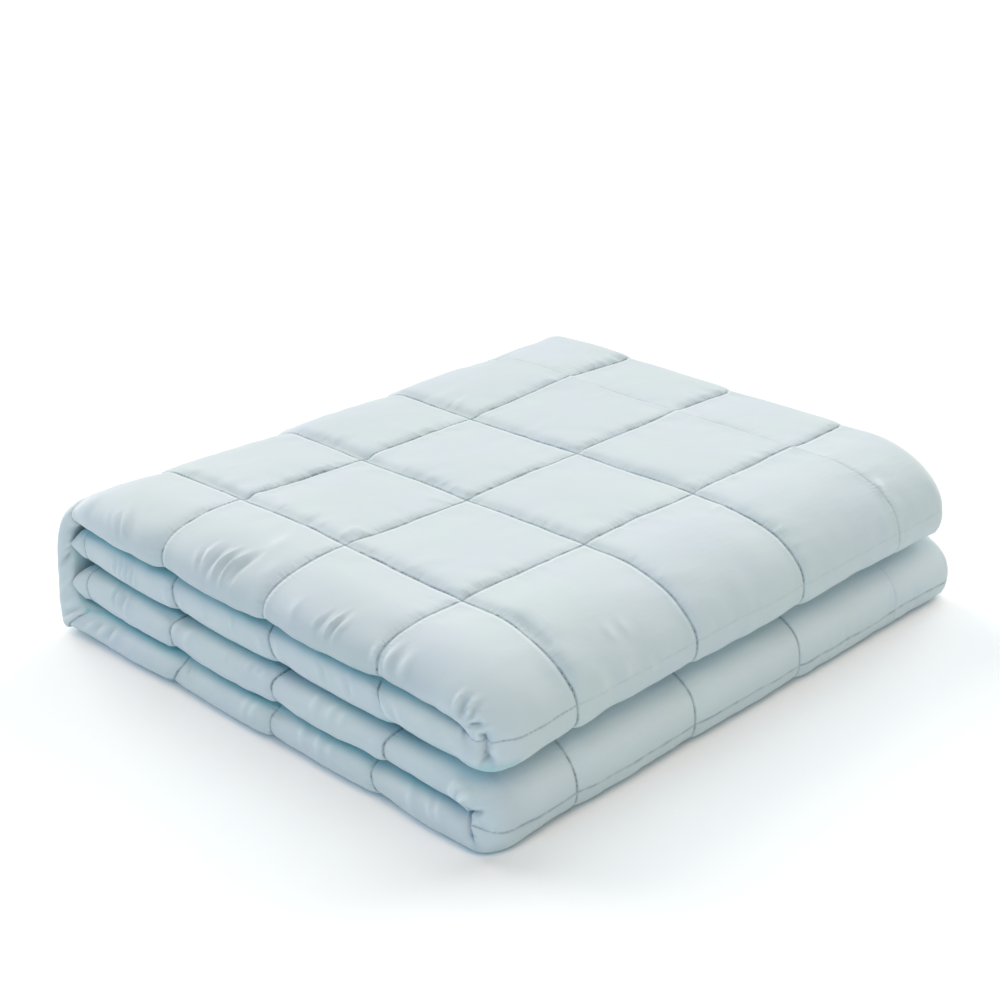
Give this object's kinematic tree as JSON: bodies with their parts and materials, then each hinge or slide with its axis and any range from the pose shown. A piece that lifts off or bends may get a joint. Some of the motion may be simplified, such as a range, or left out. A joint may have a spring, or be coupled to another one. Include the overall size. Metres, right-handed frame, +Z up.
{
  "type": "weighted blanket",
  "caption": "Quilted weighted blanket folded flat into a low, nearly square stack, with rounded front folds above each other and a back fold round the middle of the stack.",
  "frame": {"origin": "centre of the bounding box at the underside, on the surface that the blanket lies on", "axes": "+Z up through the layers, +X along the two front folds, +Y from the front folds to the back fold"},
  "size_m": [0.5202, 0.4784, 0.1232],
  "materials": {
    "blanket_cloth": "smooth closely woven microfibre in pale ice blue with a soft satin sheen, quilted in squares with thread of the same colour"
  },
  "bodies": {
    "root": {"blanket": "blanket_cloth"}
  },
  "joints": []
}
